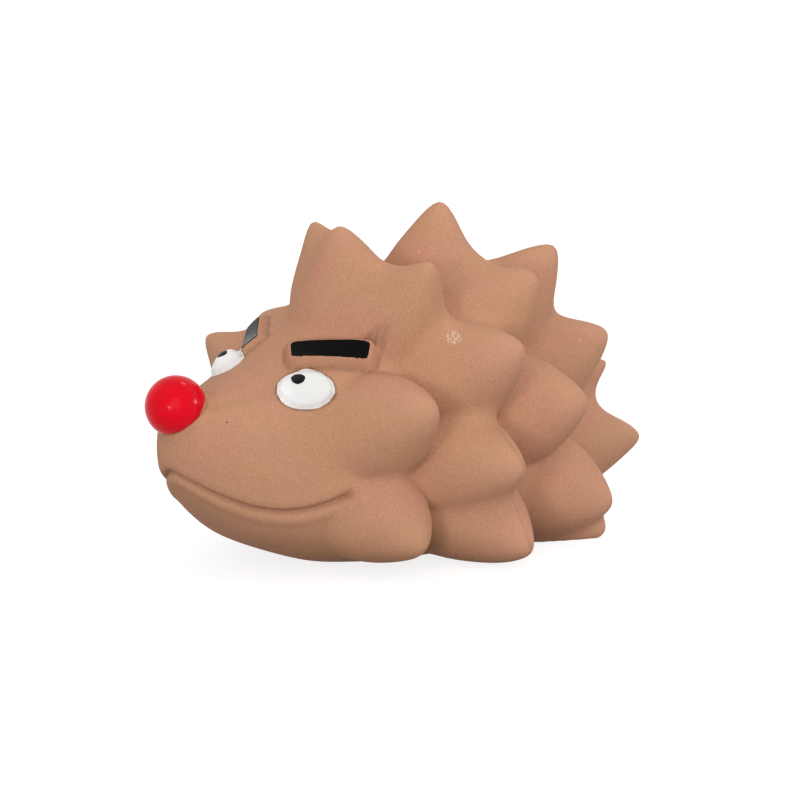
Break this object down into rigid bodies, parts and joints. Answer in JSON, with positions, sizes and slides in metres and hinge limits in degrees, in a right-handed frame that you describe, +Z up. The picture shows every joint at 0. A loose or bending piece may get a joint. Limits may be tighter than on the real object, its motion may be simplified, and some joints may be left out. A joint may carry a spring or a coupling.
{
  "type": "hedgehog squeaky dog toy",
  "caption": "Hollow moulded latex hedgehog dog toy with rounded cone spines, painted nose, eyes and brows, and a squeaker buttoned into its belly.",
  "frame": {"origin": "middle of the toy's box in plan, at the level that the belly stands on", "axes": "+X from the nose to the tail, +Y to the toy's right side, +Z up"},
  "size_m": [0.107, 0.064, 0.0599],
  "materials": {
    "latex": "matte natural latex, terracotta brown",
    "wadding": "loose polyester fibre",
    "red_paint": "glossy red rubber paint",
    "white_paint": "satin white rubber paint",
    "black_paint": "glossy black rubber paint",
    "squeaker_plastic": "natural white polyethylene",
    "reed_film": "clear polyester film"
  },
  "bodies": {
    "toy": {"latex_body": "latex", "fibre_fill": "wadding", "nose_paint": "red_paint", "eye_paint_left": "white_paint", "pupil_paint_left": "black_paint", "brow_paint_left": "black_paint", "eye_paint_right": "white_paint", "pupil_paint_right": "black_paint", "brow_paint_right": "black_paint", "squeaker_body": "squeaker_plastic", "squeaker_reed_seat": "squeaker_plastic", "squeaker_reed_clip": "squeaker_plastic", "squeaker_cap": "squeaker_plastic"},
    "reed": {"squeaker_reed": "reed_film"}
  },
  "joints": [
    {"name": "reed_flutter", "type": "hinge", "parent": "toy", "child": "reed", "pos_m": [-0.00501, 0, 0.00755], "axis": [0, 1, 0], "range_deg": [-3, 3], "stiffness_Nm_per_rad": 0.0001}
  ]
}
